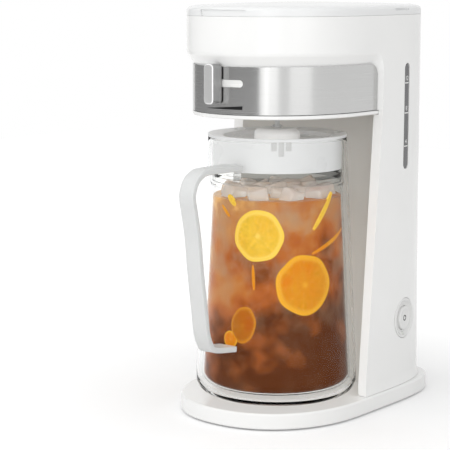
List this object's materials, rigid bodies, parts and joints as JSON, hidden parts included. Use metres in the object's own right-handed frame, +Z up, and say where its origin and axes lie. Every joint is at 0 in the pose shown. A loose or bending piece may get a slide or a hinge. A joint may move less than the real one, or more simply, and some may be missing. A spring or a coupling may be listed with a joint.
{
  "type": "iced tea maker",
  "caption": "Drip iced tea maker: tower with hinged top lid, strength knob, power button, tank, brew basket and a double-walled pitcher with a turning lid.",
  "frame": {"origin": "bottom centre of the whole object's box, handle included: X in the middle plane, Z where the rubber feet stand", "axes": "+Z up, -Y towards the user's side with the knob and the pitcher's handle, +X to the side with the water window and the power button"},
  "size_m": [0.169, 0.2874, 0.365],
  "materials": {
    "white_plastic": "moulded, semi-gloss",
    "grey_plastic": "moulded, satin",
    "pale_plastic": "moulded, satin",
    "black_plastic": "moulded, matte",
    "dark_rubber": "matte",
    "clear_silicone": "smooth, translucent",
    "brushed_steel": "brushed along the band",
    "satin_steel": "satin",
    "bright_steel": "bright",
    "cast_aluminium": "as cast",
    "smoked_plastic": "smoked, clear",
    "clear_plastic": "clear, polished",
    "frosted_plastic": "translucent",
    "filter_mesh": "woven mesh on a moulded frame",
    "lamp_lens": "polished"
  },
  "bodies": {
    "housing": {"body_shell": "white_plastic", "column_front_panel": "grey_plastic", "head_floor": "pale_plastic", "control_band": "brushed_steel", "lid_hinge_pin": "bright_steel", "base_cover": "white_plastic", "base_plate": "black_plastic", "rubber_foot_1": "dark_rubber", "rubber_foot_2": "dark_rubber", "rubber_foot_3": "dark_rubber", "rubber_foot_4": "dark_rubber", "base_screw_1": "bright_steel", "base_screw_2": "bright_steel", "base_screw_3": "bright_steel", "base_screw_4": "bright_steel", "water_window": "smoked_plastic", "button_bezel": "white_plastic", "power_light": "lamp_lens", "switch_housing": "black_plastic", "cord_gland": "black_plastic", "slider_guide": "pale_plastic", "water_tank": "smoked_plastic", "heater": "cast_aluminium", "heater_water_pipe": "bright_steel", "heater_saddle_left": "black_plastic", "heater_saddle_right": "black_plastic", "thermostat": "black_plastic", "check_valve": "pale_plastic", "inlet_hose": "clear_silicone", "riser_tube": "clear_silicone", "spray_arm": "pale_plastic", "brew_basket": "pale_plastic", "brew_filter": "filter_mesh", "spring_retainer": "pale_plastic", "drip_valve_spring": "bright_steel"},
    "top_lid": {"top_lid": "white_plastic"},
    "strength_knob": {"strength_knob": "satin_steel", "strength_slider": "pale_plastic"},
    "power_button": {"power_button": "white_plastic"},
    "drip_valve": {"drip_valve": "grey_plastic"},
    "pitcher": {"pitcher_outer_wall": "clear_plastic", "pitcher_inner_wall": "clear_plastic", "pitcher_handle": "frosted_plastic"},
    "pitcher_lid": {"pitcher_lid": "white_plastic", "drip_cap": "pale_plastic", "lid_seal": "clear_silicone"}
  },
  "joints": [
    {"name": "top_lid_hinge", "type": "hinge", "parent": "housing", "child": "top_lid", "pos_m": [0, 0.1354, 0.35395], "axis": [-1, 0, 0], "range_deg": [0, 95]},
    {"name": "strength_knob_swing", "type": "hinge", "parent": "housing", "child": "strength_knob", "pos_m": [0, -0.01067, 0.2975], "axis": [0, 0, 1], "range_deg": [-7.5, 14.5]},
    {"name": "power_button_push", "type": "slide", "parent": "housing", "child": "power_button", "axis": [-0.9952, -0.0984, 0], "range_m": [0, 0.0015], "stiffness_N_per_m": 400},
    {"name": "pitcher_draw_out", "type": "slide", "parent": "housing", "child": "pitcher", "axis": [0, -1, 0], "range_m": [0, 0.25]},
    {"name": "drip_valve_drop", "type": "slide", "parent": "housing", "child": "drip_valve", "axis": [0, 0, -1], "range_m": [0, 0.0029], "deforming": ["drip_valve_spring"]},
    {"name": "pitcher_lid_turn", "type": "hinge", "parent": "pitcher", "child": "pitcher_lid", "pos_m": [0, -0.0158, 0.2485], "axis": [0, 0, 1], "range_deg": [0, 130]}
  ],
  "couplings": [
    {"joint": "drip_valve_drop", "follows": "pitcher_draw_out", "ratio": 0.0116}
  ]
}
